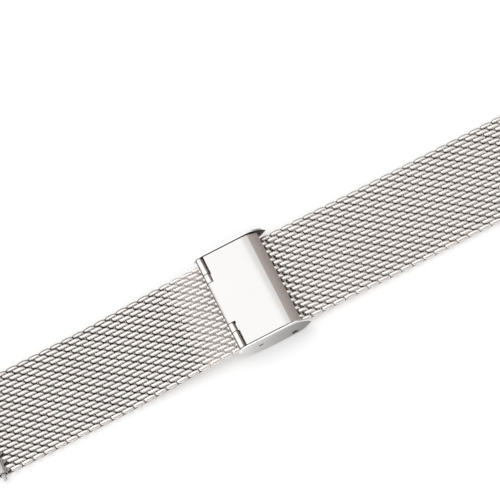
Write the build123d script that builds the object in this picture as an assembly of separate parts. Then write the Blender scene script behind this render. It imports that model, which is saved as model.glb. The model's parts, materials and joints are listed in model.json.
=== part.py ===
from build123d import *
import math
import os

os.makedirs("parts", exist_ok=True)

# Milanese mesh band, closed, lying flat with its sliding hook clasp in the middle
# Origin: middle of the box round the whole band, at the level of the table
# +X runs along the band to the long side, +Y across it, +Z up through the clasp's cover

# Woven mesh: flat wire spirals side by side, each one a rounded cross rib
mesh_width = 20.0
mesh_thickness = 1.10
coil_spacing = 1.17
valley_depth = 0.10
link_clearance = 0.07
slide_clearance = 0.03
stack_clearance = 0.06

# Rows of spirals between one bending line of a strap and the next
short_first_rows = 6
long_first_rows = 16
link_rows = 8
end_rows = 5
short_link_count = 4
long_link_count = 8
short_sloping_links = 2
long_sloping_links = 1

# Clasp frame: two boat-shaped side walls, a web between them and the fixed hinge sleeves
clasp_length = 14.85
wall_thickness = 0.45
wall_gap = 0.55
tip_height_share = 0.45
nose_length_share = 0.2626
tail_length_share = 0.1515
tail_shoulder_share = 0.21
tail_bottom_share = 0.70
tail_rake = 0.05
keel_front_share = 0.2828
keel_back_share = 0.66
edge_break = 0.12
web_thickness = 0.30
web_front_share = 0.2155
web_back_share = 0.7407
slot_length = 1.25
slot_height = 0.70
slot_from_tip_share = 0.2626
slot_level = 0.97
mark_length = 0.90
mark_height = 0.36
mark_depth = 0.16
mark_from_tip_share = 0.7071
mark_level = 2.46
mark_reach = 0.49

# Hinge at the end of the clasp
pin_diameter = 0.70
bore_clearance = 0.05
knuckle_diameter = 1.44
knuckle_lift = 0.06
hinge_from_tip_share = 0.925
cover_curl_width = 9.50
hook_knuckle_width = 1.80
knuckle_gap = 0.14
notch_gap = 0.18
pin_end_gap = 0.05

# Cover with its bevelled lip
cover_thickness = 0.40
cover_side_gap = 0.20
cover_drop = 0.06
lip_from_tip_share = 0.1178
lip_length = 1.90
lip_drop = 0.85
lip_corner = 0.30

# Hook plate under the cover, with the tongue that holds the short strap
hook_thickness = 0.35
hook_gap = 0.09
hook_from_tip_share = 0.5677
hook_neck_gap = 0.20
tongue_width = 5.00
tongue_clearance = 0.10
shoulder_from_tip_share = 0.7003
window_room = 0.20

# Locking plate under the long strap
lock_thickness = 0.23
lock_side_gap = 0.09
lock_ear_thickness = 0.22
lock_front_share = 0.1751
lock_back_share = 0.6599
ear_front_share = 0.2088
ear_front_height = 1.05
pivot_from_tip_share = 0.734
pivot_level = 0.85
pivot_diameter = 0.60
ear_radius = 0.50
floor_clearance = 0.02

# End plate of the short strap, lapped over its last spirals
plate_thickness = 0.40
plate_overhang = 0.15
plate_back_share = 0.8687
plate_front_share = 0.431
lap_front_share = 0.7946
ramp_front_share = 0.7475
weld_gap = 0.02
plate_lift = 0.06

# Where the two straps end inside the clasp
short_end_from_tip_share = 0.8013
long_end_from_tip_share = 0.8081

# Lug tubes and spring bars
lug_diameter = 1.90
lug_bore = 1.58
lug_inset = 0.20
bar_diameter = 1.50
bar_bore = 1.24
bar_inset = 0.60
bar_lip = 0.30
bar_mouth = 1.10
stem_diameter = 1.06
collar_diameter = 1.20
collar_length = 0.90
collar_gap = 0.05
tip_diameter = 0.70
tip_length = 1.00
coil_wire = 0.16
coil_diameter = 0.92
coil_turns = 6
coil_end_gap = 0.02

cut_overrun = 1.0

# Places along the clasp, measured back from its pointed tip
nose_length = nose_length_share * clasp_length
tail_length = tail_length_share * clasp_length
keel_front = keel_front_share * clasp_length
keel_back = keel_back_share * clasp_length
web_front = web_front_share * clasp_length
web_back = web_back_share * clasp_length
slot_from_tip = slot_from_tip_share * clasp_length
mark_from_tip = mark_from_tip_share * clasp_length
hinge_from_tip = hinge_from_tip_share * clasp_length
lip_from_tip = lip_from_tip_share * clasp_length
hook_from_tip = hook_from_tip_share * clasp_length
shoulder_from_tip = shoulder_from_tip_share * clasp_length
lock_front = lock_front_share * clasp_length
lock_back = lock_back_share * clasp_length
ear_front = ear_front_share * clasp_length
pivot_from_tip = pivot_from_tip_share * clasp_length
plate_back = plate_back_share * clasp_length
plate_front = plate_front_share * clasp_length
lap_front = lap_front_share * clasp_length
ramp_front = ramp_front_share * clasp_length
short_end_from_tip = short_end_from_tip_share * clasp_length
long_end_from_tip = long_end_from_tip_share * clasp_length

# Sizes worked out from the ones above
half_mesh = mesh_width / 2
bar_radius = mesh_thickness / 2
valley_level = bar_radius - valley_depth
wall_inside = half_mesh + wall_gap
wall_outside = wall_inside + wall_thickness
pin_radius = pin_diameter / 2
bore_radius = pin_radius + bore_clearance
knuckle_radius = knuckle_diameter / 2
long_level = floor_clearance + lock_thickness + slide_clearance + bar_radius
web_level = long_level + bar_radius + stack_clearance
short_level = web_level + bar_radius
hinge_level = short_level + bar_radius + knuckle_lift + knuckle_radius
clasp_height = hinge_level + knuckle_radius + cover_drop
tip_height = tip_height_share * clasp_height
tail_shoulder = tail_shoulder_share * clasp_height
tail_bottom = tail_bottom_share * clasp_height
lug_radius = lug_diameter / 2
half_lug = half_mesh - lug_inset
bar_end = half_lug - bar_inset

# Length of the flat sheet from a strap's last rib to the axis of its lug tube
lug_hug = lug_radius + weld_gap
lug_rise = lug_radius - bar_radius
tube_reach_top = math.sqrt(lug_hug**2 - (valley_level - lug_rise) ** 2)
tube_reach_bottom = math.sqrt(lug_hug**2 - (valley_level + lug_rise) ** 2)
tube_reach_middle = math.sqrt(lug_hug**2 - lug_rise**2)
end_run = (end_rows + 0.5) * coil_spacing + tube_reach_top


def strap_stations(start_x, start_level, side, first_rows, link_count, sloping_links):
    """Place and slope of each link of a strap: the first one level, the next ones
    sloping down to the table, the rest lying on it."""
    run = link_rows * coil_spacing
    slope = math.asin((start_level - bar_radius) / (sloping_links * run))
    x = start_x
    z = start_level
    stations = [(x, z, 0.0)]
    x += side * first_rows * coil_spacing
    for index in range(link_count + 1):
        angle = slope if index < sloping_links else 0.0
        stations.append((x, z, angle))
        if index < link_count:
            x += side * run * math.cos(angle)
            z -= run * math.sin(angle)
    return stations, x + side * end_run


# The clasp's pointed tip is the datum: both straps are laid out from it,
# then the whole band is centred along X
short_start = -short_end_from_tip - bar_radius
long_start = -long_end_from_tip + bar_radius
short_reach = strap_stations(short_start, short_level, -1, short_first_rows,
                             short_link_count, short_sloping_links)[1] - lug_radius
long_reach = strap_stations(long_start, long_level, 1, long_first_rows,
                            long_link_count, long_sloping_links)[1] + lug_radius
tip_x = -(short_reach + long_reach) / 2
hinge_x = tip_x - hinge_from_tip
short_stations, short_lug_x = strap_stations(tip_x + short_start, short_level, -1, short_first_rows,
                                             short_link_count, short_sloping_links)
long_stations, long_lug_x = strap_stations(tip_x + long_start, long_level, 1, long_first_rows,
                                           long_link_count, long_sloping_links)


def across(outline, low, high):
    """A side view, drawn in X and Z, made solid between two places across the band."""
    return extrude(Plane.XZ.offset(-high) * outline, amount=high - low, dir=(0, -1, 0))


def mirrored(solid):
    """The same piece on both sides of the band's middle plane."""
    return solid + solid.mirror(Plane.XZ)


def ring(outer, inner, low, high, x, z):
    """A sleeve across the band round the axis through x and z."""
    return across(Pos(x, z) * (Circle(outer) - Circle(inner)), low, high)


def rod(radius, low, high, x, z):
    """A solid round bar across the band."""
    return across(Pos(x, z) * Circle(radius), low, high)


def box_across(x_low, x_high, z_low, z_high, low, high):
    """A straight strip across the band."""
    middle = Pos((x_low + x_high) / 2, (z_low + z_high) / 2)
    return across(middle * Rectangle(x_high - x_low, z_high - z_low), low, high)


# Mesh straps


def link_outline(rows, starts_round, ends_in_tube):
    """Side view of one stretch of mesh, with u along the strap from its first bending
    line and v up. Each spiral is a low arc on both faces. A stretch starts with its own
    round bar or with a saddle round the bar before it, and ends with a round bar on the
    next bending line or with a saddle round the lug tube."""
    foot = math.sqrt(bar_radius**2 - valley_level**2)
    saddle = bar_radius + link_clearance
    horn = math.sqrt(saddle**2 - valley_level**2)
    half = coil_spacing / 2
    last = rows * coil_spacing
    ribs = range(1, rows + 1) if ends_in_tube else range(1, rows)
    start = foot if starts_round else horn
    with BuildSketch() as sketch:
        with BuildLine():
            for way in (1, -1):
                Line((start, way * valley_level), (half, way * valley_level))
                for rib in ribs:
                    middle = rib * coil_spacing
                    ThreePointArc((middle - half, way * valley_level), (middle, way * bar_radius),
                                  (middle + half, way * valley_level))
            if starts_round:
                ThreePointArc((start, valley_level), (-bar_radius, 0), (start, -valley_level))
            else:
                ThreePointArc((start, valley_level), (saddle, 0), (start, -valley_level))
            if ends_in_tube:
                tube = last + half + tube_reach_top
                ThreePointArc((last + half, valley_level), (tube - tube_reach_middle, 0),
                              (tube - tube_reach_bottom, -valley_level))
                Line((last + half, -valley_level), (tube - tube_reach_bottom, -valley_level))
            else:
                for way in (1, -1):
                    Line((last - half, way * valley_level), (last - foot, way * valley_level))
                ThreePointArc((last - foot, valley_level), (last + bar_radius, 0),
                              (last - foot, -valley_level))
        make_face()
    return sketch.sketch


def strap_links(stations, side, first_rows):
    """All the stretches of one strap, each laid on its own slope."""
    links = []
    for index, (x, z, angle) in enumerate(stations):
        first = index == 0
        last = index == len(stations) - 1
        rows = first_rows if first else end_rows if last else link_rows
        lie = Plane(origin=(x, 0, z), x_dir=(side * math.cos(angle), 0, -math.sin(angle)),
                    z_dir=(0, -side, 0))
        outline = link_outline(rows, first, last)
        links.append(extrude(lie * outline, amount=half_mesh, both=True))
    return links


# Clasp


def wall_outline():
    """Boat-shaped side wall: a flat top that curves down to a pointed nose over the
    long strap, a short rounded stern at the hinge, and a keel that stands on the table."""
    nose = (tip_x, tip_height)
    deck_front = (tip_x - nose_length, clasp_height)
    deck_back = (tip_x - clasp_length + tail_length, clasp_height)
    stern_top = (tip_x - clasp_length, clasp_height - tail_shoulder)
    stern_bottom = (tip_x - clasp_length + tail_rake, tail_bottom)
    with BuildSketch() as sketch:
        with BuildLine():
            Line(deck_back, deck_front)
            TangentArc(deck_front, nose, tangent=(1, 0))
            TangentArc((tip_x - keel_front, 0), nose, tangent=(1, 0))
            Line((tip_x - keel_back, 0), (tip_x - keel_front, 0))
            TangentArc((tip_x - keel_back, 0), stern_bottom, tangent=(-1, 0))
            Line(stern_bottom, stern_top)
            TangentArc(deck_back, stern_top, tangent=(-1, 0))
        make_face()
    return sketch.sketch


def clasp_frame():
    """Both walls with their snap slots and pressed marks, the web between the two straps,
    the fixed hinge sleeves and the studs that carry the locking plate."""
    wall = across(wall_outline(), wall_inside, wall_outside)
    outer_face = wall.faces().sort_by(Axis.Y)[-1]
    wall = chamfer(outer_face.edges(), edge_break)
    slot = Pos(tip_x - slot_from_tip, slot_level) * SlotOverall(slot_length, slot_height)
    wall -= across(slot, wall_inside - cut_overrun, wall_outside + cut_overrun)
    mark = Pos(tip_x - mark_from_tip, mark_level) * SlotOverall(mark_length, mark_height)
    wall -= across(mark, wall_outside - mark_depth, wall_outside + cut_overrun)
    wall += across(mark, wall_inside - mark_reach, wall_outside - mark_depth)
    sleeve_start = cover_curl_width / 2 + hook_knuckle_width + knuckle_gap * 2
    wall += ring(knuckle_radius, bore_radius, sleeve_start, wall_inside, hinge_x, hinge_level)
    wall += rod(pivot_diameter / 2, half_mesh + lock_side_gap, wall_inside,
                tip_x - pivot_from_tip, pivot_level)
    web = box_across(tip_x - web_back, tip_x - web_front, web_level, web_level + web_thickness,
                     -wall_inside, wall_inside)
    return mirrored(wall) + web


def hinge_pin():
    """The straight pin through every knuckle."""
    reach = wall_inside - pin_end_gap
    return rod(pin_radius, -reach, reach, hinge_x, hinge_level)


def clasp_cover():
    """The cover: a flat sheet between the walls, rolled round the pin in the middle of one
    end and bent down in a bevelled lip at the other."""
    top = clasp_height - cover_drop
    lip_x = tip_x - lip_from_tip
    bend_x = lip_x - lip_length
    slope = math.atan2(lip_drop, lip_length)
    inner_bend = cover_thickness * math.tan(slope / 2)
    side = Polygon(
        (hinge_x, top),
        (bend_x, top),
        (lip_x, top - lip_drop),
        (lip_x - cover_thickness * math.sin(slope), top - lip_drop - cover_thickness * math.cos(slope)),
        (bend_x - inner_bend, top - cover_thickness),
        (hinge_x, top - cover_thickness),
        align=None,
    )
    half_width = wall_inside - cover_side_gap
    sheet = across(side, -half_width, half_width)
    corners = sheet.faces().sort_by(Axis.X)[-1].edges().filter_by(Axis.Y, reverse=True)
    sheet = fillet(corners, lip_corner)
    curl = ring(knuckle_radius, bore_radius, -cover_curl_width / 2, cover_curl_width / 2,
                hinge_x, hinge_level)
    notch = box_across(hinge_x - cut_overrun, hinge_x + knuckle_radius + notch_gap,
                       top - cover_thickness - cut_overrun, top + cut_overrun,
                       cover_curl_width / 2, half_width + cut_overrun)
    bore = rod(bore_radius, -half_width, half_width, hinge_x, hinge_level)
    return sheet - mirrored(notch) + curl - bore


def hook_plate():
    """The plate under the cover: two short knuckles on the same pin, shoulders that narrow
    to a tongue, and the tongue bent down through the end plate's window."""
    top = clasp_height - cover_drop - cover_thickness - hook_gap
    bottom = top - hook_thickness
    hook_x = tip_x - hook_from_tip
    shoulder_x = tip_x - shoulder_from_tip
    half_width = cover_curl_width / 2 + knuckle_gap + hook_knuckle_width
    half_tongue = tongue_width / 2
    root_x = hinge_x + knuckle_radius + hook_neck_gap
    inner = cover_curl_width / 2 + knuckle_gap
    with BuildSketch() as plan:
        with BuildLine():
            for way in (1, -1):
                Line((hinge_x, way * inner), (hinge_x, way * half_width))
                Line((hinge_x, way * half_width), (shoulder_x, way * half_width))
                Line((shoulder_x, way * half_width), (hook_x - hook_thickness, way * half_tongue))
                Line((hook_x - hook_thickness, way * half_tongue), (hook_x, way * half_tongue))
                Line((hinge_x, way * inner), (root_x, way * inner))
            Line((hook_x, half_tongue), (hook_x, -half_tongue))
            Line((root_x, inner), (root_x, -inner))
        make_face()
    sheet = extrude(Plane.XY.offset(bottom) * plan.sketch, amount=hook_thickness)
    tongue_end = web_level + web_thickness + tongue_clearance
    tongue = box_across(hook_x - hook_thickness, hook_x, tongue_end, top, -half_tongue, half_tongue)
    knuckle = ring(knuckle_radius, bore_radius, inner, half_width, hinge_x, hinge_level)
    bore = rod(bore_radius, -half_width, half_width, hinge_x, hinge_level)
    body = sheet + tongue
    bend = body.edges().filter_by(Axis.Y).group_by(Axis.Z)[-1].sort_by(Axis.X)[-1]
    return fillet(bend, hook_thickness / 2) + mirrored(knuckle) - bore


def lock_plate():
    """The locking plate: a floor under the long strap and two thin ears that reach up
    between the strap and the walls to the studs they turn on."""
    ear_low = half_mesh + lock_side_gap
    ear_high = ear_low + lock_ear_thickness
    floor_top = floor_clearance + lock_thickness
    pivot_x = tip_x - pivot_from_tip
    floor = box_across(tip_x - lock_back, tip_x - lock_front, floor_clearance, floor_top,
                       -ear_high, ear_high)
    ear_x = tip_x - ear_front
    side = Polygon(
        (pivot_x, pivot_level + ear_radius),
        (ear_x, ear_front_height),
        (ear_x, floor_top),
        (tip_x - lock_back, floor_clearance),
        (pivot_x, pivot_level - ear_radius),
        align=None,
    )
    ear = across(side + Pos(pivot_x, pivot_level) * Circle(ear_radius), ear_low, ear_high)
    ear -= rod(pivot_diameter / 2 + bore_clearance, ear_low - cut_overrun, ear_high + cut_overrun,
               pivot_x, pivot_level)
    return mirrored(ear) + floor


def short_end_plate():
    """The plate welded over the short strap's last spirals, stepped down on to the web,
    with the window that the hook's tongue drops into."""
    lap_bottom = short_level + bar_radius + weld_gap
    low_bottom = web_level + web_thickness + plate_lift
    side = Polygon(
        (tip_x - plate_back, lap_bottom),
        (tip_x - lap_front, lap_bottom),
        (tip_x - ramp_front, low_bottom),
        (tip_x - plate_front, low_bottom),
        (tip_x - plate_front, low_bottom + plate_thickness),
        (tip_x - ramp_front + plate_thickness / 2, low_bottom + plate_thickness),
        (tip_x - lap_front + plate_thickness / 2, lap_bottom + plate_thickness),
        (tip_x - plate_back, lap_bottom + plate_thickness),
        align=None,
    )
    half_width = half_mesh + plate_overhang
    plate = across(side, -half_width, half_width)
    hook_x = tip_x - hook_from_tip
    window_low = hook_x - hook_thickness - window_room
    window_high = hook_x + window_room
    window = box_across(window_low, window_high, low_bottom - cut_overrun,
                        low_bottom + plate_thickness + cut_overrun,
                        -tongue_width / 2 - window_room, tongue_width / 2 + window_room)
    return plate - window


# Lug ends


def lug_tube(x):
    """The tube welded to a strap's last spiral, lying on the table."""
    return ring(lug_radius, lug_bore / 2, -half_lug, half_lug, x, lug_radius)


def bar_shell(x):
    """The spring bar's shell, rolled in at both mouths."""
    radius = bar_diameter / 2
    shell = ring(radius, bar_bore / 2, -bar_end + bar_lip, bar_end - bar_lip, x, lug_radius)
    mouth = ring(radius, bar_mouth / 2, bar_end - bar_lip, bar_end, x, lug_radius)
    return shell + mirrored(mouth)


def bar_tip(x, side):
    """One sprung tip: a collar trapped in the shell, the stem through its mouth, and the
    thinner point that sits in the watch lug's hole."""
    collar_high = bar_end - bar_lip - collar_gap
    collar_low = collar_high - collar_length
    point_end = half_mesh + tip_length
    tip_radius = tip_diameter / 2
    stem_radius = stem_diameter / 2
    half_view = Polygon(
        (0, collar_low),
        (collar_diameter / 2, collar_low),
        (collar_diameter / 2, collar_high),
        (stem_radius, collar_high),
        (stem_radius, half_mesh),
        (tip_radius, half_mesh),
        (tip_radius, point_end),
        (0, point_end),
        align=None,
    )
    tip = Pos(x, 0, lug_radius) * revolve(half_view, Axis.Y)
    return tip if side > 0 else tip.mirror(Plane.XZ)


def bar_spring(x):
    """The coil spring between the two collars, its fine wire drawn square."""
    reach = bar_end - bar_lip - collar_gap - collar_length - coil_end_gap - coil_wire / 2
    pitch = 2 * reach / coil_turns
    path = Helix(pitch=pitch, height=2 * reach, radius=coil_diameter / 2)
    section = Plane(origin=path @ 0, z_dir=path % 0) * Rectangle(coil_wire, coil_wire)
    coil = sweep(section, path=path)
    return Pos(x, reach, lug_radius) * Rot(90, 0, 0) * coil


# Build every piece
pieces = {
    "clasp_frame": clasp_frame(),
    "hinge_pin": hinge_pin(),
    "clasp_cover": clasp_cover(),
    "hook_plate": hook_plate(),
    "lock_plate": lock_plate(),
    "short_end_plate": short_end_plate(),
}
for number, link in enumerate(strap_links(short_stations, -1, short_first_rows), start=1):
    pieces[f"short_mesh_{number}"] = link
for number, link in enumerate(strap_links(long_stations, 1, long_first_rows), start=1):
    pieces[f"long_mesh_{number}"] = link
for strap, lug_x in (("short", short_lug_x), ("long", long_lug_x)):
    pieces[f"{strap}_lug_tube"] = lug_tube(lug_x)
    pieces[f"{strap}_bar_shell"] = bar_shell(lug_x)
    pieces[f"{strap}_bar_tip_near"] = bar_tip(lug_x, -1)
    pieces[f"{strap}_bar_tip_far"] = bar_tip(lug_x, 1)
    pieces[f"{strap}_bar_spring"] = bar_spring(lug_x)

for name, solid in pieces.items():
    export_step(solid, f"parts/{name}.step")

print("clasp tip at x", round(tip_x, 4), "hinge at", round(hinge_x, 4), round(hinge_level, 4))
print("lock pivot at", round(tip_x - pivot_from_tip, 4), pivot_level)
for strap, stations in (("short", short_stations), ("long", long_stations)):
    for x, z, angle in stations:
        print(strap, round(x, 4), round(z, 4), round(math.degrees(angle), 3))
print("lug tubes at x", round(short_lug_x, 4), round(long_lug_x, 4), "z", lug_radius)
print("least gap between the spring's turns",
      round(2 * (bar_end - bar_lip - collar_gap - collar_length - coil_end_gap) / coil_turns - coil_wire, 3))
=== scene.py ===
import json
import math

import bmesh
import bpy
import numpy as np
from mathutils import Matrix, Vector


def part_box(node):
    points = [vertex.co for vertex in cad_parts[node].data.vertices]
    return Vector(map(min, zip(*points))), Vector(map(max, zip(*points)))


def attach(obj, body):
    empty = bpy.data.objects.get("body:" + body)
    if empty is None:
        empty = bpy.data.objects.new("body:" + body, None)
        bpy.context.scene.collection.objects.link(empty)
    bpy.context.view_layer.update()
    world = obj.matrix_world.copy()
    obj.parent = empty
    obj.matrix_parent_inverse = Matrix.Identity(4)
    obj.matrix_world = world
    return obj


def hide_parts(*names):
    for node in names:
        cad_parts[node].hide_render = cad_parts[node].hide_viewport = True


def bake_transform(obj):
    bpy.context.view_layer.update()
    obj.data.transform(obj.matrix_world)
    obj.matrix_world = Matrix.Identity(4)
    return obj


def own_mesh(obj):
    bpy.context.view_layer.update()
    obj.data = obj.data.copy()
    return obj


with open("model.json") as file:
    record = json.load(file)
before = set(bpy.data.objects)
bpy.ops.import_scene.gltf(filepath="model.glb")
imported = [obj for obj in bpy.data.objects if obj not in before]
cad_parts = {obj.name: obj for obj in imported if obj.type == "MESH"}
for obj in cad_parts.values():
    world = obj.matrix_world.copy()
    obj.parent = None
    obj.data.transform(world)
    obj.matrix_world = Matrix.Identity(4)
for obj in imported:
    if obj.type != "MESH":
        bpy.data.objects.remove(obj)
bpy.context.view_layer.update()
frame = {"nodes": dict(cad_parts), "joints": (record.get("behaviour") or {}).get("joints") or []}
mm = 0.001


# Woven straps
# Both straps are milanese mesh: flat spirals of round steel wire, laid side by side across the
# band and wound through each other, then rolled flat and polished. The short strap is held in
# the clasp, the long one slides through it, and each ends in a brazed lug tube.

wire_radius = 0.235 * mm
rolled_half_width = 0.42 * mm
spiral_reach = 1.08 * mm
spiral_rise = 0.31 * mm
half_turns = 20
closing_turn = math.radians(75)
turn_sharpness = 0.90
edge_softness = 0.06 * mm
end_softness = 0.25 * mm
path_smoothing = 0.9 * mm
sides_of_wire = 10
steps_per_turn = 20
rows_between_bends = 8

strap_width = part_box("long_mesh_2")[1].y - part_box("long_mesh_2")[0].y
cloth_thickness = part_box("long_mesh_4")[1].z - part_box("long_mesh_4")[0].z
joint_place = {joint["name"]: Vector(joint.get("pos_m", (0, 0, 0))) for joint in frame["joints"]}
long_bend_step = joint_place["long_bend_3"].x - joint_place["long_bend_2"].x
row_spacing = long_bend_step / rows_between_bends


def strap_path(strap, side):
    """Corners of the strap's middle line: its first spiral, its bending lines and its lug tube."""
    low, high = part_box(f"{strap}_mesh_1")
    half = cloth_thickness / 2
    bends = []
    while f"{strap}_bend_{len(bends) + 1}" in joint_place:
        bends.append(joint_place[f"{strap}_bend_{len(bends) + 1}"])
    first_x = low.x + half if side > 0 else high.x - half
    tube_low, tube_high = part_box(f"{strap}_lug_tube")
    first = Vector((first_x, 0, bends[0].z))
    last = Vector(((tube_low.x + tube_high.x) / 2, 0, bends[-1].z))
    return [first] + bends + [last]


def along_path(corners, reach):
    """Points of the strap's middle line at given lengths from its first spiral."""
    flat = np.array([(corner.x, corner.z) for corner in corners])
    runs = np.hypot(*np.diff(flat, axis=0).T)
    marks = np.concatenate([[0], np.cumsum(runs)])
    ways = np.diff(flat, axis=0) / runs[:, None]
    which = np.clip(np.searchsorted(marks, reach, side="right") - 1, 0, len(runs) - 1)
    return flat[which] + ways[which] * (reach - marks[which])[..., None]


def on_cloth(corners, reach, across, lift):
    """World points of cloth coordinates, with the strap's bends eased over a short stretch."""
    before = along_path(corners, reach - path_smoothing)
    here = along_path(corners, reach)
    after = along_path(corners, reach + path_smoothing)
    middle = (before + 2 * here + after) / 4
    way = after - before
    way /= np.linalg.norm(way, axis=-1, keepdims=True)
    side = 1 if corners[-1].x > corners[0].x else -1
    normal = side * np.stack([-way[..., 1], way[..., 0]], axis=-1)
    place = middle + normal * lift[..., None]
    return np.stack([place[..., 0], across, place[..., 1]], axis=-1)


def eased_limit(value, limit, softness):
    """The value, bent smoothly so that it never passes the limit."""
    over = (value - limit) / softness
    return limit - softness * np.logaddexp(0, -over)


def spiral_line(row, hand, last_reach):
    """Middle line of one spiral in cloth coordinates, and how wide it is rolled. Its strands run
    straight along the band, so its advance lies in the loops between them. Neighbours are half
    a turn apart, and the ends are closed at the strap's sides."""
    half_width = strap_width / 2 - rolled_half_width
    turn_rate = half_turns * math.pi / (2 * half_width)
    edge_angle = math.pi / 2 if row % 2 else math.pi * 3 / 2
    count = (half_turns + 2 * closing_turn / math.pi) * steps_per_turn / 2
    angle = np.linspace(edge_angle - half_turns * math.pi - closing_turn, edge_angle + closing_turn,
                        int(count) + 1)
    advance = angle + np.sin(2 * angle) / 2
    across = half_width + (advance - edge_angle) / turn_rate
    across = eased_limit(across, half_width, edge_softness)
    across = -eased_limit(-across, half_width, edge_softness)
    reach = row * row_spacing + spiral_reach * np.cos(angle)
    start = -cloth_thickness / 2 + wire_radius
    reach = -eased_limit(-reach, -start, end_softness)
    reach = eased_limit(reach, last_reach, end_softness)
    swing = np.sin(angle)
    lift = hand * spiral_rise * np.sign(swing) * np.abs(swing) ** turn_sharpness
    half_widths = wire_radius + (rolled_half_width - wire_radius) * np.abs(lift) / spiral_rise
    return np.stack([reach, across, lift], axis=-1), half_widths


def wire_round(line, half_height, half_widths, sides):
    """Rings of points round a middle line, each as high as the wire and as wide as it is rolled."""
    way = np.gradient(line, axis=0)
    way /= np.linalg.norm(way, axis=1, keepdims=True)
    out = np.cross(way, np.array([0.0, 1.0, 0.0]))
    out /= np.linalg.norm(out, axis=1, keepdims=True)
    other = np.cross(out, way)
    turn = np.arange(sides) * 2 * math.pi / sides
    ring = (half_height * np.cos(turn)[None, :, None] * out[:, None, :]
            + half_widths[:, None, None] * np.sin(turn)[None, :, None] * other[:, None, :])
    return line[:, None, :] + ring


def tube_faces(rings, sides, offset):
    """Quads between neighbouring rings, and a cap at each end."""
    faces = []
    for ring in range(rings - 1):
        base = offset + ring * sides
        for side in range(sides):
            after = (side + 1) % sides
            faces.append((base + side, base + after, base + sides + after, base + sides + side))
    faces.append(tuple(offset + side for side in reversed(range(sides))))
    faces.append(tuple(offset + (rings - 1) * sides + side for side in range(sides)))
    return faces


rolled_level = 0.49 * mm
rolled_give = 0.35
selvedge_width = 1.00 * mm
selvedge_thinning = 0.30


def at_selvedge(across):
    """Nought inside the cloth, rising to one at its outermost loops."""
    share = 1 - (strap_width / 2 - np.abs(across)) / selvedge_width
    return np.clip(share, 0, 1) ** 2


def pressed(rings):
    """The rings as the rollers leave them: flat on top, and thinner at the selvedges."""
    reach, across, lift = np.moveaxis(rings, -1, 0)
    over = np.maximum(np.abs(lift) - rolled_level, 0)
    lift = np.sign(lift) * (np.abs(lift) - over * (1 - rolled_give))
    lift = lift * (1 - selvedge_thinning * at_selvedge(across))
    return np.stack([reach, across, lift], axis=-1)


# Painted light at the selvedges: the far one is painted darker, the near one brighter.
selvedge_painted_light = 0.45
# Painted light on the short strap: brighter beside the clasp, darker farther out.
lit_reach = 5.5 * mm
shaded_reach = 10.5 * mm
lit_shift = -0.50
shaded_shift = 0.14


def painted_clasp_light(reach, hand):
    """Painted light on the short strap: its wire is painted brighter beside the clasp and darker
    farther out.
    """
    if hand > 0:
        return 0
    share = np.clip((reach - lit_reach) / (shaded_reach - lit_reach), 0, 1)
    return lit_shift + (shaded_shift - lit_shift) * share


def painted_wire_shade(rings, hand):
    """Painted shade of each point: darker deeper in the cloth and on the far selvedge, lighter as a
    painted highlight on the near selvedge and beside the clasp.
    """
    reach, across, lift = np.moveaxis(rings, -1, 0)
    deep = 1 - np.clip(np.abs(lift) / (cloth_thickness / 2), 0, 1)
    return deep + (painted_clasp_light(reach, hand) + selvedge_painted_light * at_selvedge(across) * np.sign(across))


def in_scene(name, data):
    """A new object of the scene."""
    thing = bpy.data.objects.new(name, data)
    bpy.context.scene.collection.objects.link(thing)
    return thing


def mesh_object(name, points, faces):
    """A smooth-shaded object from points and faces."""
    data = bpy.data.meshes.new(name)
    data.from_pydata([tuple(point) for point in points], [], faces)
    data.polygons.foreach_set("use_smooth", [True] * len(data.polygons))
    data.update()
    return in_scene(name, data)


def woven_piece(name, corners, rows, hand, last_reach):
    """The spirals of one stretch of strap as one mesh, with the painted shade of each point."""
    points, faces, depth = [], [], []
    for row in rows:
        line, half_widths = spiral_line(row, hand, last_reach)
        rings = pressed(wire_round(line, wire_radius, half_widths, sides_of_wire))
        faces += tube_faces(len(line), sides_of_wire, sum(len(spiral) for spiral in points))
        depth.append(painted_wire_shade(rings, hand).reshape(-1))
        world = on_cloth(corners, rings[..., 0], rings[..., 1], rings[..., 2])
        points.append(world.reshape(-1, 3))
    piece = mesh_object(name, np.concatenate(points), faces)
    layer = piece.data.attributes.new("painted_cloth_shade", "FLOAT", "POINT")
    layer.data.foreach_set("value", np.concatenate(depth).astype(np.float32))
    return piece


def new_group(name, inputs, outputs):
    """An empty shader group with named sockets."""
    group = bpy.data.node_groups.new(name, "ShaderNodeTree")
    for label, kind, start in inputs:
        socket = group.interface.new_socket(name=label, in_out="INPUT", socket_type=kind)
        socket.default_value = start
    for label, kind in outputs:
        group.interface.new_socket(name=label, in_out="OUTPUT", socket_type=kind)
    return group, group.nodes.new("NodeGroupInput"), group.nodes.new("NodeGroupOutput")


def math_node(tree, operation, first, second=None):
    """A Math node fed by sockets or plain numbers."""
    node = tree.nodes.new("ShaderNodeMath")
    node.operation = operation
    for socket, value in zip(node.inputs, (first, second)):
        if value is None:
            continue
        if isinstance(value, (int, float)):
            socket.default_value = value
        else:
            tree.links.new(value, socket)
    return node.outputs[0]


def noise_node(tree, place, scale, detail):
    """A noise texture over given coordinates, its scale a number or a socket."""
    noise = tree.nodes.new("ShaderNodeTexNoise")
    tree.links.new(place, noise.inputs["Vector"])
    noise.inputs["Detail"].default_value = detail
    if isinstance(scale, float):
        noise.inputs["Scale"].default_value = scale
    else:
        tree.links.new(scale, noise.inputs["Scale"])
    return noise.outputs["Fac"]


grain_detail = 3.0
mark_scale = 260.0
mark_detail = 2.0
unevenness = 0.45


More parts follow.
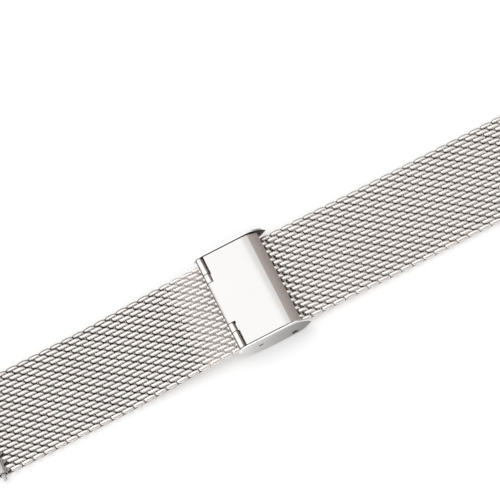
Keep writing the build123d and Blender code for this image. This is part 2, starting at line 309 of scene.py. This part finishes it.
def build_steel_grain():
    """Fine directional grain and broad handling marks of polished or brushed steel."""
    group, given, out = new_group(
        "steel_grain",
        [("Bright", "NodeSocketColor", (0.6, 0.6, 0.6, 1)),
         ("Dull", "NodeSocketColor", (0.3, 0.3, 0.3, 1)),
         ("Dullness", "NodeSocketFloat", 0.0),
         ("Stretch", "NodeSocketVector", (1, 1, 1)),
         ("Grain Size", "NodeSocketFloat", 4000.0),
         ("Smooth", "NodeSocketFloat", 0.2),
         ("Rough", "NodeSocketFloat", 0.4)],
        [("Color", "NodeSocketColor"), ("Roughness", "NodeSocketFloat"),
         ("Height", "NodeSocketFloat")])
    links = group.links
    place = group.nodes.new("ShaderNodeTexCoord")
    stretch = group.nodes.new("ShaderNodeVectorMath")
    stretch.operation = "MULTIPLY"
    links.new(place.outputs["Object"], stretch.inputs[0])
    links.new(given.outputs["Stretch"], stretch.inputs[1])
    grain = noise_node(group, stretch.outputs[0], given.outputs["Grain Size"], grain_detail)
    marks = noise_node(group, place.outputs["Object"], mark_scale, mark_detail)
    both = math_node(group, "ADD", grain, marks)
    both = math_node(group, "MULTIPLY", both, 0.5)
    centred = math_node(group, "SUBTRACT", both, 0.5)
    wobble = math_node(group, "MULTIPLY", centred, unevenness)
    dulled = math_node(group, "ADD", given.outputs["Dullness"], wobble)
    dulled.node.use_clamp = True
    colour = group.nodes.new("ShaderNodeMix")
    colour.data_type = "RGBA"
    links.new(dulled, colour.inputs["Factor"])
    links.new(given.outputs["Bright"], colour.inputs["A"])
    links.new(given.outputs["Dull"], colour.inputs["B"])
    links.new(colour.outputs["Result"], out.inputs["Color"])
    rough = group.nodes.new("ShaderNodeMapRange")
    links.new(dulled, rough.inputs["Value"])
    links.new(given.outputs["Smooth"], rough.inputs["To Min"])
    links.new(given.outputs["Rough"], rough.inputs["To Max"])
    links.new(rough.outputs["Result"], out.inputs["Roughness"])
    links.new(grain, out.inputs["Height"])
    return group


steel_grain = build_steel_grain()
relief_depth = 0.02 * mm


def steel(name, bright, dull, stretch, grain_size, smooth, rough, relief, dullness=0.0):
    """A steel finish: the grain group feeding a metallic shader."""
    material = bpy.data.materials.new(name)
    material.use_nodes = True
    tree = material.node_tree
    shader = tree.nodes["Principled BSDF"]
    shader.inputs["Metallic"].default_value = 1.0
    grain = tree.nodes.new("ShaderNodeGroup")
    grain.name = "grain"
    grain.node_tree = steel_grain
    settings = {"Bright": (*bright, 1), "Dull": (*dull, 1), "Dullness": dullness, "Stretch": stretch,
                "Grain Size": grain_size, "Smooth": smooth, "Rough": rough}
    for label, value in settings.items():
        grain.inputs[label].default_value = value
    tree.links.new(grain.outputs["Color"], shader.inputs["Base Color"])
    tree.links.new(grain.outputs["Roughness"], shader.inputs["Roughness"])
    bump = tree.nodes.new("ShaderNodeBump")
    bump.inputs["Strength"].default_value = relief
    bump.inputs["Distance"].default_value = relief_depth
    tree.links.new(grain.outputs["Height"], bump.inputs["Height"])
    tree.links.new(bump.outputs["Normal"], shader.inputs["Normal"])
    return material


def paint_shade_by(material, value, start, stop, easing="LINEAR"):
    """Painted shade: turn a finish from bright to dull while a shader value goes from start to stop.
    """
    tree = material.node_tree
    span = tree.nodes.new("ShaderNodeMapRange")
    span.interpolation_type = easing
    span.inputs["From Min"].default_value = start
    span.inputs["From Max"].default_value = stop
    tree.links.new(value, span.inputs["Value"])
    tree.links.new(span.outputs["Result"], tree.nodes["grain"].inputs["Dullness"])


# The wire's dull colour is painted shade, laid on by how deep each point lies in the cloth.
unshaded_depth = 0.30
fully_shaded_depth = 0.90
woven_wire = steel("woven_wire", bright=(0.98, 0.93, 0.895), dull=(0.10, 0.072, 0.058),
                   stretch=(1, 1, 1), grain_size=2500.0, smooth=0.22, rough=0.42, relief=0.10)
painted_cloth_shade = woven_wire.node_tree.nodes.new("ShaderNodeAttribute")
painted_cloth_shade.attribute_name = "painted_cloth_shade"
paint_shade_by(woven_wire, painted_cloth_shade.outputs["Fac"], unshaded_depth, fully_shaded_depth, "SMOOTHSTEP")


def weave_strap(strap, side):
    """All the stretches of one strap: each bends at one line, half-way to the next."""
    corners = strap_path(strap, side)
    bends = len(corners) - 2
    first_rows = round((corners[1] - corners[0]).length / row_spacing)
    tube_low, tube_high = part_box(f"{strap}_lug_tube")
    tube_radius = (tube_high.z - tube_low.z) / 2
    total = sum((end - start).length for start, end in zip(corners, corners[1:]))
    last_reach = total - tube_radius - wire_radius / 2
    last_row = int((total - tube_radius) / row_spacing)
    half_link = rows_between_bends // 2
    for bend in range(1, bends + 1):
        middle = first_rows + (bend - 1) * rows_between_bends
        start = 0 if bend == 1 else middle - half_link
        stop = last_row + 1 if bend == bends else middle + half_link
        piece = woven_piece(f"{strap}_weave_{bend}", corners, range(start, stop), side, last_reach)
        piece.data.materials.append(woven_wire)
        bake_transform(piece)
        stands_for = [f"{strap}_mesh_{bend + 1}"]
        if bend == 1:
            stands_for.append(f"{strap}_mesh_1")
        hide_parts(*stands_for)


weave_strap("short", -1)
weave_strap("long", 1)


# Clasp frame
# The frame is stamped from stainless sheet: two boat-shaped side walls with a snap slot and
# a pressed mark in each, joined by a web between the straps. Two sleeves at its stern grip
# the hinge pin. The walls are satin, with painted shade that darkens them towards the tip;
# their rims are polished and painted bright as a highlight. Painted shade darkens their
# inner faces, the mark, the seams and the knuckles' flanks and edges.

fine_rounding = 0.02 * mm
edge_rounding = 0.03 * mm
soft_rounding = 0.04 * mm
rounding_steps = 2
rounding_fullness = 0.6
joined_within = 0.002 * mm
cut_tolerance = 1e-9
same_plane = math.radians(0.6)
sharp_angle = math.radians(32)


def shade_smooth(data, breaks_at):
    """Smooth shading that breaks at edges sharper than an angle."""
    data.polygons.foreach_set("use_smooth", [True] * len(data.polygons))
    data.set_sharp_from_angle(angle=breaks_at)


def softened(name, node, width):
    """A copy of a CAD solid with its facets merged and its edges slightly rounded."""
    shape = bmesh.new()
    shape.from_mesh(frame["nodes"][node].data)
    bmesh.ops.remove_doubles(shape, verts=shape.verts, dist=joined_within)
    bmesh.ops.dissolve_limit(shape, angle_limit=same_plane, verts=shape.verts, edges=shape.edges)
    shape.normal_update()
    sharp = [edge for edge in shape.edges
             if edge.is_manifold and edge.calc_face_angle(0) > sharp_angle]
    bmesh.ops.bevel(shape, geom=sharp, offset=width, segments=rounding_steps,
                    profile=rounding_fullness, affect="EDGES", clamp_overlap=True)
    bmesh.ops.triangulate(shape, faces=[face for face in shape.faces if len(face.verts) > 4])
    data = bpy.data.meshes.new(name)
    shape.to_mesh(data)
    shape.free()
    shade_smooth(data, sharp_angle)
    return in_scene(name, data)


def cut_across(piece, places, way=(1, 0, 0)):
    """Extra edges across a piece at the given places, along the band unless told otherwise."""
    shape = bmesh.new()
    shape.from_mesh(piece.data)
    for place in places:
        bmesh.ops.bisect_plane(shape, geom=shape.verts[:] + shape.edges[:] + shape.faces[:],
                               plane_co=Vector(way) * place, plane_no=way, dist=cut_tolerance)
    shape.to_mesh(piece.data)
    shape.free()


def fit_piece(piece, node, body, material):
    """Give a piece its finish and let it stand for its CAD node."""
    piece.data.materials.clear()
    piece.data.materials.append(material)
    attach(piece, body)
    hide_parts(node)


def second_material(piece, material, wanted):
    """Another material, such as painted shade, on the faces that a test picks by their middle and
    their direction.
    """
    finishes = piece.data.materials
    if material.name not in finishes:
        finishes.append(material)
    for face in piece.data.polygons:
        if wanted(face.center, face.normal):
            face.material_index = finishes.find(material.name)


wall_depth = 0.45 * mm
sleeve_radius = 0.72 * mm
seam_width = 0.22 * mm
mark_from_tip = 10.50 * mm
mark_half_length = 0.52 * mm
mark_level = 2.46 * mm
mark_half_height = 0.24 * mm
skin = 0.02 * mm
wall_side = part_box("clasp_frame")[1].y
nose_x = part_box("clasp_frame")[1].x
hinge_x = joint_place["cover_hinge"].x
wall_inside = wall_side - wall_depth
seam_start = wall_inside - seam_width
sleeve_side = wall_side - 2 * wall_depth

# Painted shade: a dark steel for the faces in gaps and recesses, which lie in shade.
painted_gap_shade = steel("painted_gap_shade", bright=(0.17, 0.145, 0.13), dull=(0.10, 0.085, 0.075),
                     stretch=(1, 1, 1), grain_size=5000.0, smooth=0.40, rough=0.55, relief=0.15,
                     dullness=0.3)
bright_steel = steel("bright_steel", bright=(0.92, 0.905, 0.90), dull=(0.84, 0.825, 0.82),
                     stretch=(1, 0.10, 1), grain_size=8000.0, smooth=0.14, rough=0.24, relief=0.04,
                     dullness=0.1)
# Brushed steel painted darker as shade: for the cover's bevel and the knuckles' flanks towards the
# tip.
brushed_steel_painted_shade = steel("brushed_steel_painted_shade", bright=(0.51, 0.445, 0.41), dull=(0.43, 0.375, 0.345),
                      stretch=(1, 0.05, 1), grain_size=9000.0, smooth=0.30, rough=0.42, relief=0.10,
                      dullness=0.2)
# Painted shade: the satin darkens from the hinge towards the tip.
satin_wall_painted_shade = steel("satin_wall_painted_shade", bright=(0.74, 0.725, 0.71), dull=(0.25, 0.24, 0.23),
                   stretch=(0.06, 1, 1), grain_size=9000.0, smooth=0.24, rough=0.36, relief=0.12)
wall_place = satin_wall_painted_shade.node_tree.nodes.new("ShaderNodeTexCoord")
wall_split = satin_wall_painted_shade.node_tree.nodes.new("ShaderNodeSeparateXYZ")
satin_wall_painted_shade.node_tree.links.new(wall_place.outputs["Object"], wall_split.inputs[0])
paint_shade_by(satin_wall_painted_shade, wall_split.outputs["X"], hinge_x, nose_x)

squarely = 0.9
steeply = 0.75
somewhat = 0.3


def at_stern(middle):
    """Whether a place lies at the hinge."""
    return middle.x < hinge_x + sleeve_radius


def at_knuckle(middle):
    """Whether a place lies on a knuckle, between the walls."""
    return at_stern(middle) and abs(middle.y) < wall_inside


def is_bright(middle, way):
    """Whether a face is a wall's upper rim or a sleeve."""
    return way.z > somewhat and abs(middle.y) > wall_inside or at_knuckle(middle)


def is_inner(middle, way):
    """Whether a face looks inwards, from a wall or from the end of a sleeve."""
    looks_inwards = way.y * middle.y < -squarely * abs(middle.y)
    return looks_inwards and (middle.x > hinge_x or abs(middle.y) < sleeve_side)


def is_mark(middle, way):
    """Whether a face lies in the mark that is pressed into each wall."""
    along = abs(middle.x - nose_x + mark_from_tip) < mark_half_length
    level = abs(middle.z - mark_level) < mark_half_height
    return along and level and wall_inside < abs(middle.y) < wall_side - skin


def is_seam(middle, way):
    """Whether a face lies in the seam between a sleeve and its wall."""
    return at_stern(middle) and seam_start < abs(middle.y) < wall_inside - skin


def is_side_edge(middle, way):
    """Whether a face is a side edge of a sheet, which gets painted shade."""
    return abs(way.y) > squarely


def is_inner_flank(middle, way):
    """Whether a face is the side of a knuckle towards the tip."""
    return at_knuckle(middle) and way.x > somewhat and way.z > 0


def is_knuckle_edge(middle, way):
    """Whether a face is the stern side of a knuckle or one of its ends."""
    at_end = abs(way.y) > somewhat and abs(middle.y) < sleeve_side
    return at_knuckle(middle) and (way.x < -steeply or at_end)


def shade_knuckles(piece):
    """Leave the crown of each knuckle as it is, and give its flank towards the tip and its edges
    painted shade.
    """
    second_material(piece, brushed_steel_painted_shade, is_inner_flank)
    second_material(piece, painted_gap_shade, is_knuckle_edge)


frame_walls = softened("frame_walls", "clasp_frame", edge_rounding)
cut_across(frame_walls, [hinge_x])
cut_across(frame_walls, [-seam_start, seam_start], (0, 1, 0))
fit_piece(frame_walls, "clasp_frame", "clasp", satin_wall_painted_shade)
# The rims are polished and painted bright as a highlight; the sleeves' crowns are bright polished
# steel.
second_material(frame_walls, bright_steel, is_bright)
# Painted shade on the walls' inner faces and in the pressed mark.
second_material(frame_walls, painted_gap_shade, is_inner)
second_material(frame_walls, painted_gap_shade, is_mark)
# Painted shade on the sleeves' flanks towards the tip and on their edges.
shade_knuckles(frame_walls)
# Painted shade in the seams between the sleeves and the walls.
second_material(frame_walls, painted_gap_shade, is_seam)


# Hinge pin
# A straight turned pin of hard steel through every knuckle, pressed into the two fixed
# sleeves. Only slivers of it show, in the joints between the knuckles.

turned_steel = steel("turned_steel", bright=(0.58, 0.57, 0.56), dull=(0.40, 0.39, 0.38),
                     stretch=(1, 0.08, 1), grain_size=7000.0, smooth=0.20, rough=0.34, relief=0.10,
                     dullness=0.2)
pin = softened("hinge_rod", "hinge_pin", fine_rounding)
fit_piece(pin, "hinge_pin", "clasp", turned_steel)


# Short strap's end plate
# A plate spot-welded over the last spirals of the short strap and stepped down on to the
# web, with the window that takes the hook's tongue.

end_plate = softened("end_plate", "short_end_plate", soft_rounding)
# The end plate's satin carries the same painted shade, darker towards the tip.
fit_piece(end_plate, "short_end_plate", "clasp", satin_wall_painted_shade)


# Hook plate
# The polished plate under the cover, turning on the same pin with two short knuckles. Its
# tongue is bent down through the end plate's window.

hook = softened("hook_sheet", "hook_plate", edge_rounding)
fit_piece(hook, "hook_plate", "hook", bright_steel)
# Painted shade on the hook plate's side edges.
second_material(hook, painted_gap_shade, is_side_edge)
# Painted shade on the hook's knuckles, on their flanks towards the tip and their edges.
shade_knuckles(hook)


# Cover
# One polished sheet rolled round the pin at its stern. It eases down just before the lip and
# then turns over a crisp line into the brushed bevel, painted darker as a painted reflection
# of the dark beside it. Its side edges and its knuckle's flank and edges carry painted shade.

lip_run = 1.90 * mm
ease_run = 2.40 * mm
ease_drop = 0.13 * mm
ease_cuts = 8
crease_angle = math.radians(15)
bevel_lean = 0.2
bevel_rise = 0.5
crease_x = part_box("clasp_cover")[1].x - lip_run
polished_sheet = steel("polished_sheet", bright=(0.71, 0.70, 0.695), dull=(0.64, 0.63, 0.625),
                       stretch=(1, 0.10, 1), grain_size=8000.0, smooth=0.13, rough=0.22, relief=0.04,
                       dullness=0.1)


def is_bevel(middle, way):
    """Whether a face is the bevel in front of the crease."""
    return middle.x > crease_x and way.x > bevel_lean and way.z > bevel_rise


cover = softened("cover_sheet", "clasp_cover", edge_rounding)
cut_across(cover, [crease_x - ease_run * (1 - cut / ease_cuts) for cut in range(ease_cuts)])
for point in cover.data.vertices:
    share = min(max((point.co.x - crease_x) / ease_run + 1, 0), 1)
    point.co.z -= ease_drop * share * share
shade_smooth(cover.data, crease_angle)
fit_piece(cover, "clasp_cover", "cover", polished_sheet)
# The bevel is brushed and painted darker, a painted reflection of the dark beside it.
second_material(cover, brushed_steel_painted_shade, is_bevel)
# Painted shade on the cover's side edges.
second_material(cover, painted_gap_shade, is_side_edge)
# Painted shade on the curl's flank towards the tip and on its edges.
shade_knuckles(cover)


# Locking plate
# A thin satin plate under the long strap. Its two ears turn on studs of the frame, and its
# edge bites the cloth when the clasp lies flat.

lock = softened("lock_sheet", "lock_plate", edge_rounding)
# The lock plate's satin carries the same painted shade, darker towards the tip.
fit_piece(lock, "lock_plate", "lock", satin_wall_painted_shade)


# Lug tubes
# The drawn tube that each strap ends in, brazed to its last spirals and a little narrower
# than the cloth.

last_bodies = {"short": "short_6", "long": "long_10"}
for strap, body in last_bodies.items():
    tube = softened(f"{strap}_tube", f"{strap}_lug_tube", soft_rounding)
    fit_piece(tube, f"{strap}_lug_tube", body, turned_steel)


# Spring bars
# Each tube holds a spring bar: a rolled-in shell, a fine coil spring, and two stepped tips
# that spring out into the holes of the watch's lugs.

spring_wire_radius = 0.08 * mm
turns_in_half = 11
steps_per_coil = 20
sides_of_spring = 8
spring_steel = steel("spring_steel", bright=(0.50, 0.49, 0.48), dull=(0.34, 0.33, 0.32),
                     stretch=(1, 1, 1), grain_size=6000.0, smooth=0.26, rough=0.40, relief=0.08,
                     dullness=0.3)


def half_spring(strap, end, side, body):
    """One half of a coil spring, from the middle of the bar to a tip, which presses it together."""
    low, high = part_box(f"{strap}_bar_spring")
    centre = (low + high) / 2
    coil_radius = (high.z - low.z) / 2 - spring_wire_radius
    reach = (high.y - low.y) / 2 - spring_wire_radius
    share = np.linspace(0, 1, turns_in_half * steps_per_coil + 1)
    angle = side * share * turns_in_half * 2 * math.pi
    line = np.stack([centre.x + coil_radius * np.cos(angle), centre.y + side * reach * share,
                     centre.z + coil_radius * np.sin(angle)], axis=-1)
    rings = wire_round(line, spring_wire_radius, np.full(len(line), spring_wire_radius),
                       sides_of_spring)
    piece = mesh_object(f"{strap}_spring_{end}", rings.reshape(-1, 3),
                        tube_faces(len(line), sides_of_spring, 0))
    fit_piece(piece, f"{strap}_bar_spring", body, spring_steel)
    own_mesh(piece)


for strap, body in last_bodies.items():
    shell = softened(f"{strap}_shell", f"{strap}_bar_shell", fine_rounding)
    fit_piece(shell, f"{strap}_bar_shell", body, turned_steel)
    for end, side in (("near", -1), ("far", 1)):
        tip = softened(f"{strap}_tip_{end}_turned", f"{strap}_bar_tip_{end}", edge_rounding)
        fit_piece(tip, f"{strap}_bar_tip_{end}", f"{strap}_tip_{end}", turned_steel)
        half_spring(strap, end, side, body)


# Studio
# A plain white table, clear from below, under a white sky. One soft box over the band's far
# side is what the cover and the wires' tops throw back to the camera. Three grey cards, on
# the camera's side, beyond the tip and on the far side, are what the flanks show.

table_reach = 3.0
table_drop = 0.02 * mm
table_glow = 0.20


def flat_sheet(name, half_width, half_height, level=0.0):
    """A rectangle that faces up."""
    corners = [(-half_width, -half_height, level), (half_width, -half_height, level),
               (half_width, half_height, level), (-half_width, half_height, level)]
    return mesh_object(name, corners, [(0, 1, 2, 3)])


def matt_paint(name, darkest, lightest, noise_scale, roughness):
    """A paint without shine and with a faint unevenness."""
    paint = bpy.data.materials.new(name)
    paint.use_nodes = True
    tree = paint.node_tree
    shader = tree.nodes["Principled BSDF"]
    shader.inputs["Roughness"].default_value = roughness
    shader.inputs["Specular IOR Level"].default_value = 0.0
    noise = tree.nodes.new("ShaderNodeTexNoise")
    noise.inputs["Scale"].default_value = noise_scale
    tone = tree.nodes.new("ShaderNodeMapRange")
    tone.inputs["To Min"].default_value = darkest
    tone.inputs["To Max"].default_value = lightest
    tree.links.new(noise.outputs["Fac"], tone.inputs["Value"])
    tree.links.new(tone.outputs["Result"], shader.inputs["Base Color"])
    return paint


def seen_directly(tree):
    """One for rays from the camera and for mirrored or transmitted ones, nought for the rest."""
    path = tree.nodes.new("ShaderNodeLightPath")
    seen = math_node(tree, "ADD", path.outputs["Is Camera Ray"], path.outputs["Is Glossy Ray"])
    seen = math_node(tree, "ADD", seen, path.outputs["Is Transmission Ray"])
    seen.node.use_clamp = True
    return seen


def glow_and_clear(paint):
    """Let the table's paint glow a little where it is seen, and be clear from below."""
    tree = paint.node_tree
    shader = tree.nodes["Principled BSDF"]
    glow = math_node(tree, "MULTIPLY", seen_directly(tree), table_glow)
    shader.inputs["Emission Color"].default_value = (1, 1, 1, 1)
    tree.links.new(glow, shader.inputs["Emission Strength"])
    clear = tree.nodes.new("ShaderNodeBsdfTransparent")
    which_side = tree.nodes.new("ShaderNodeNewGeometry")
    both_sides = tree.nodes.new("ShaderNodeMixShader")
    tree.links.new(which_side.outputs["Backfacing"], both_sides.inputs[0])
    tree.links.new(shader.outputs["BSDF"], both_sides.inputs[1])
    tree.links.new(clear.outputs["BSDF"], both_sides.inputs[2])
    tree.links.new(both_sides.outputs["Shader"], tree.nodes["Material Output"].inputs["Surface"])


table = flat_sheet("table", table_reach, table_reach, -table_drop)
table_paint = matt_paint("table_paint", darkest=0.90, lightest=0.92, noise_scale=40.0, roughness=0.9)
glow_and_clear(table_paint)
table.data.materials.append(table_paint)

sky_light = 0.92
world = bpy.data.worlds.new("white_room")
bpy.context.scene.world = world
world.use_nodes = True
sky = world.node_tree.nodes["Background"]
sky.inputs["Color"].default_value = (1, 1, 1, 1)
strength = world.node_tree.nodes.new("ShaderNodeMapRange")
strength.inputs["To Min"].default_value = sky_light
strength.inputs["To Max"].default_value = 1.0
world.node_tree.links.new(seen_directly(world.node_tree), strength.inputs["Value"])
world.node_tree.links.new(strength.outputs["Result"], sky.inputs["Strength"])

view_target = Vector((nose_x - 4.35 * mm, 8.58 * mm, 1.28 * mm))
studio_distance = 0.60


def face_clasp(thing, bearing):
    """Set up a lamp or a card in a direction from the clasp, facing it and unseen by the camera."""
    toward = Vector(bearing).normalized()
    thing.location = view_target + toward * studio_distance
    thing.rotation_mode = "QUATERNION"
    thing.rotation_quaternion = toward.to_track_quat("Z", "Y")
    thing.visible_camera = False


def soft_box(name, bearing, width, height, radiance):
    """A rectangular lamp of a given brightness."""
    lamp = bpy.data.lights.new(name, "AREA")
    lamp.shape = "RECTANGLE"
    lamp.size = width
    lamp.size_y = height
    lamp.energy = radiance * math.pi * width * height
    face_clasp(in_scene(name, lamp), bearing)


soft_box("main_box", (-0.33, 0.48, 0.872), width=0.46, height=0.50, radiance=0.38)
card_paint = matt_paint("card_paint", darkest=0.44, lightest=0.48, noise_scale=6.0, roughness=1.0)


def grey_card(name, bearing, width, height):
    """A card that is seen in the clasp's metal but neither by the camera nor by the table."""
    card = flat_sheet(name, width / 2, height / 2)
    card.data.materials.append(card_paint)
    face_clasp(card, bearing)
    card.visible_diffuse = False
    card.visible_shadow = False


grey_card("near_card", (0.0, -0.66, 0.75), width=1.10, height=0.62)
grey_card("tip_card", (0.80, 0.42, 0.36), width=0.60, height=0.50)
grey_card("far_card", (0.10, 0.93, 0.36), width=0.60, height=0.36)

lens_length = 300.0
sensor_width = 36.0
clip_reach = 20.0
camera_distance = 0.784
camera_elevation = math.radians(61.5)
camera_roll = math.radians(27.16)
camera_data = bpy.data.cameras.new("camera")
camera_data.lens = lens_length
camera_data.sensor_width = sensor_width
camera_data.clip_end = clip_reach
camera = in_scene("camera", camera_data)
back = Vector((0, -math.cos(camera_elevation), math.sin(camera_elevation)))
level_right = Vector((1, 0, 0))
level_up = back.cross(level_right)
right = math.cos(camera_roll) * level_right - math.sin(camera_roll) * level_up
up = math.sin(camera_roll) * level_right + math.cos(camera_roll) * level_up
place = view_target + back * camera_distance
camera.matrix_world = Matrix((
    (right.x, up.x, back.x, place.x),
    (right.y, up.y, back.y, place.y),
    (right.z, up.z, back.z, place.z),
    (0, 0, 0, 1)))
bpy.context.scene.camera = camera
bpy.context.scene.view_settings.view_transform = "Standard"
